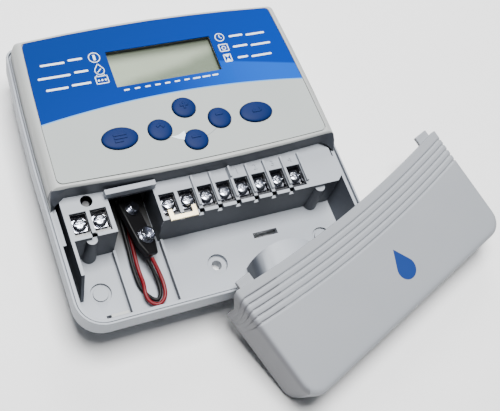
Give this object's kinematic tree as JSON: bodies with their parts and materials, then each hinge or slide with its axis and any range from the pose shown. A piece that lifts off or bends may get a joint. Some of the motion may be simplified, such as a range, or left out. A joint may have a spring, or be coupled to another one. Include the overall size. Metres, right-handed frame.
{
  "type": "irrigation controller",
  "caption": "Square indoor irrigation controller with display, rubber keys, screw terminals and battery strap; its concave-edged terminal cover lies loose over one corner.",
  "frame": {"origin": "centre of the flat back face that goes against the wall", "axes": "+X to the right across the face, +Y towards the top edge, +Z out of the face towards the user"},
  "size_m": [0.1879, 0.1719, 0.0335],
  "materials": {
    "housing_plastic": "fine spark texture",
    "tray_plastic": "fine spark texture",
    "cover_plastic": "fine spark texture",
    "printed_film": "satin printed film",
    "clear_window": "clear",
    "lcd_glass": "satin",
    "key_rubber": "satin",
    "black_plastic": "matte",
    "strap_vinyl": "satin",
    "nickel_steel": "bright nickel plate",
    "brass_strip": "tinned brass",
    "board_green": "solder mask",
    "elastomer": "matte",
    "capacitor_sleeve": "shrink sleeve",
    "lead_red": "satin vinyl",
    "lead_black": "satin vinyl"
  },
  "bodies": {
    "root": {"rear_case": "tray_plastic", "front_housing": "housing_plastic", "label_overlay": "printed_film", "display_window": "clear_window", "lcd_panel": "lcd_glass", "lcd_frame": "black_plastic", "zebra_connector": "elastomer", "circuit_board": "board_green", "microcontroller": "black_plastic", "keypad_mat": "key_rubber", "terminal_board": "board_green", "board_header": "black_plastic", "capacitor": "capacitor_sleeve", "bridge_rectifier": "black_plastic", "triac_1": "black_plastic", "triac_2": "black_plastic", "triac_3": "black_plastic", "triac_4": "black_plastic", "reset_switch": "black_plastic", "terminal_deck": "tray_plastic", "power_terminal_block": "black_plastic", "station_terminal_block": "black_plastic", "case_screw_1": "nickel_steel", "case_screw_2": "nickel_steel", "case_screw_3": "nickel_steel", "case_screw_4": "nickel_steel", "battery_strap": "strap_vinyl", "battery_stud": "nickel_steel", "battery_socket": "nickel_steel", "battery_lead_red": "lead_red", "battery_lead_black": "lead_black", "sensor_jumper": "brass_strip"},
    "terminal_cover": {"terminal_cover": "cover_plastic"},
    "button_program": {"button_program": "key_rubber"},
    "button_previous": {"button_previous": "key_rubber"},
    "button_plus": {"button_plus": "key_rubber"},
    "button_next": {"button_next": "key_rubber"},
    "button_minus": {"button_minus": "key_rubber"},
    "button_manual": {"button_manual": "key_rubber"},
    "reset_button": {"reset_button": "black_plastic"},
    "clamp_power_1": {"clamp_power_1": "nickel_steel"},
    "screw_power_1": {"screw_power_1": "nickel_steel"},
    "clamp_power_2": {"clamp_power_2": "nickel_steel"},
    "screw_power_2": {"screw_power_2": "nickel_steel"},
    "clamp_station_1": {"clamp_station_1": "nickel_steel"},
    "screw_station_1": {"screw_station_1": "nickel_steel"},
    "clamp_station_2": {"clamp_station_2": "nickel_steel"},
    "screw_station_2": {"screw_station_2": "nickel_steel"},
    "clamp_station_3": {"clamp_station_3": "nickel_steel"},
    "screw_station_3": {"screw_station_3": "nickel_steel"},
    "clamp_station_4": {"clamp_station_4": "nickel_steel"},
    "screw_station_4": {"screw_station_4": "nickel_steel"},
    "clamp_station_5": {"clamp_station_5": "nickel_steel"},
    "screw_station_5": {"screw_station_5": "nickel_steel"},
    "clamp_station_6": {"clamp_station_6": "nickel_steel"},
    "screw_station_6": {"screw_station_6": "nickel_steel"},
    "clamp_station_7": {"clamp_station_7": "nickel_steel"},
    "screw_station_7": {"screw_station_7": "nickel_steel"},
    "clamp_station_8": {"clamp_station_8": "nickel_steel"},
    "screw_station_8": {"screw_station_8": "nickel_steel"}
  },
  "joints": [
    {"name": "cover_lift", "type": "slide", "parent": "root", "child": "terminal_cover", "axis": [0, 0, 1], "range_m": [0, 0.06]},
    {"name": "button_program_press", "type": "slide", "parent": "root", "child": "button_program", "axis": [0, 0, -1], "range_m": [0, 0.001], "stiffness_N_per_m": 300, "springref_m": -0.001},
    {"name": "button_previous_press", "type": "slide", "parent": "root", "child": "button_previous", "axis": [0, 0, -1], "range_m": [0, 0.001], "stiffness_N_per_m": 300, "springref_m": -0.001},
    {"name": "button_plus_press", "type": "slide", "parent": "root", "child": "button_plus", "axis": [0, 0, -1], "range_m": [0, 0.001], "stiffness_N_per_m": 300, "springref_m": -0.001},
    {"name": "button_next_press", "type": "slide", "parent": "root", "child": "button_next", "axis": [0, 0, -1], "range_m": [0, 0.001], "stiffness_N_per_m": 300, "springref_m": -0.001},
    {"name": "button_minus_press", "type": "slide", "parent": "root", "child": "button_minus", "axis": [0, 0, -1], "range_m": [0, 0.001], "stiffness_N_per_m": 300, "springref_m": -0.001},
    {"name": "button_manual_press", "type": "slide", "parent": "root", "child": "button_manual", "axis": [0, 0, -1], "range_m": [0, 0.001], "stiffness_N_per_m": 300, "springref_m": -0.001},
    {"name": "reset_press", "type": "slide", "parent": "root", "child": "reset_button", "axis": [0, 0, -1], "range_m": [0, 0.0005], "stiffness_N_per_m": 400, "springref_m": -0.001},
    {"name": "lift_power_1", "type": "slide", "parent": "root", "child": "clamp_power_1", "axis": [0, 0, 1], "range_m": [0, 0.0015]},
    {"name": "turn_power_1", "type": "hinge", "parent": "clamp_power_1", "child": "screw_power_1", "pos_m": [-0.05185, -0.0214, 0.0202], "axis": [0, 0, 1], "range_deg": [0, 1080.5]},
    {"name": "lift_power_2", "type": "slide", "parent": "root", "child": "clamp_power_2", "axis": [0, 0, 1], "range_m": [0, 0.0015]},
    {"name": "turn_power_2", "type": "hinge", "parent": "clamp_power_2", "child": "screw_power_2", "pos_m": [-0.04388, -0.0214, 0.0202], "axis": [0, 0, 1], "range_deg": [0, 1080.5]},
    {"name": "lift_station_1", "type": "slide", "parent": "root", "child": "clamp_station_1", "axis": [0, 0, 1], "range_m": [0, 0.0015]},
    {"name": "turn_station_1", "type": "hinge", "parent": "clamp_station_1", "child": "screw_station_1", "pos_m": [-0.0161, -0.0214, 0.0202], "axis": [0, 0, 1], "range_deg": [0, 1080.5]},
    {"name": "lift_station_2", "type": "slide", "parent": "root", "child": "clamp_station_2", "axis": [0, 0, 1], "range_m": [0, 0.0015]},
    {"name": "turn_station_2", "type": "hinge", "parent": "clamp_station_2", "child": "screw_station_2", "pos_m": [-0.00813, -0.0214, 0.0202], "axis": [0, 0, 1], "range_deg": [0, 1080.5]},
    {"name": "lift_station_3", "type": "slide", "parent": "root", "child": "clamp_station_3", "axis": [0, 0, 1], "range_m": [0, 0.0015]},
    {"name": "turn_station_3", "type": "hinge", "parent": "clamp_station_3", "child": "screw_station_3", "pos_m": [-0.00016, -0.0214, 0.0202], "axis": [0, 0, 1], "range_deg": [0, 1080.5]},
    {"name": "lift_station_4", "type": "slide", "parent": "root", "child": "clamp_station_4", "axis": [0, 0, 1], "range_m": [0, 0.0015]},
    {"name": "turn_station_4", "type": "hinge", "parent": "clamp_station_4", "child": "screw_station_4", "pos_m": [0.00781, -0.0214, 0.0202], "axis": [0, 0, 1], "range_deg": [0, 1080.5]},
    {"name": "lift_station_5", "type": "slide", "parent": "root", "child": "clamp_station_5", "axis": [0, 0, 1], "range_m": [0, 0.0015]},
    {"name": "turn_station_5", "type": "hinge", "parent": "clamp_station_5", "child": "screw_station_5", "pos_m": [0.01578, -0.0214, 0.0202], "axis": [0, 0, 1], "range_deg": [0, 1080.5]},
    {"name": "lift_station_6", "type": "slide", "parent": "root", "child": "clamp_station_6", "axis": [0, 0, 1], "range_m": [0, 0.0015]},
    {"name": "turn_station_6", "type": "hinge", "parent": "clamp_station_6", "child": "screw_station_6", "pos_m": [0.02375, -0.0214, 0.0202], "axis": [0, 0, 1], "range_deg": [0, 1080.5]},
    {"name": "lift_station_7", "type": "slide", "parent": "root", "child": "clamp_station_7", "axis": [0, 0, 1], "range_m": [0, 0.0015]},
    {"name": "turn_station_7", "type": "hinge", "parent": "clamp_station_7", "child": "screw_station_7", "pos_m": [0.03172, -0.0214, 0.0202], "axis": [0, 0, 1], "range_deg": [0, 1080.5]},
    {"name": "lift_station_8", "type": "slide", "parent": "root", "child": "clamp_station_8", "axis": [0, 0, 1], "range_m": [0, 0.0015]},
    {"name": "turn_station_8", "type": "hinge", "parent": "clamp_station_8", "child": "screw_station_8", "pos_m": [0.03969, -0.0214, 0.0202], "axis": [0, 0, 1], "range_deg": [0, 1080.5]}
  ],
  "couplings": [
    {"joint": "turn_power_1", "follows": "lift_power_1", "rad_per_m": 12566},
    {"joint": "turn_power_2", "follows": "lift_power_2", "rad_per_m": 12566},
    {"joint": "turn_station_1", "follows": "lift_station_1", "rad_per_m": 12566},
    {"joint": "turn_station_2", "follows": "lift_station_2", "rad_per_m": 12566},
    {"joint": "turn_station_3", "follows": "lift_station_3", "rad_per_m": 12566},
    {"joint": "turn_station_4", "follows": "lift_station_4", "rad_per_m": 12566},
    {"joint": "turn_station_5", "follows": "lift_station_5", "rad_per_m": 12566},
    {"joint": "turn_station_6", "follows": "lift_station_6", "rad_per_m": 12566},
    {"joint": "turn_station_7", "follows": "lift_station_7", "rad_per_m": 12566},
    {"joint": "turn_station_8", "follows": "lift_station_8", "rad_per_m": 12566}
  ]
}
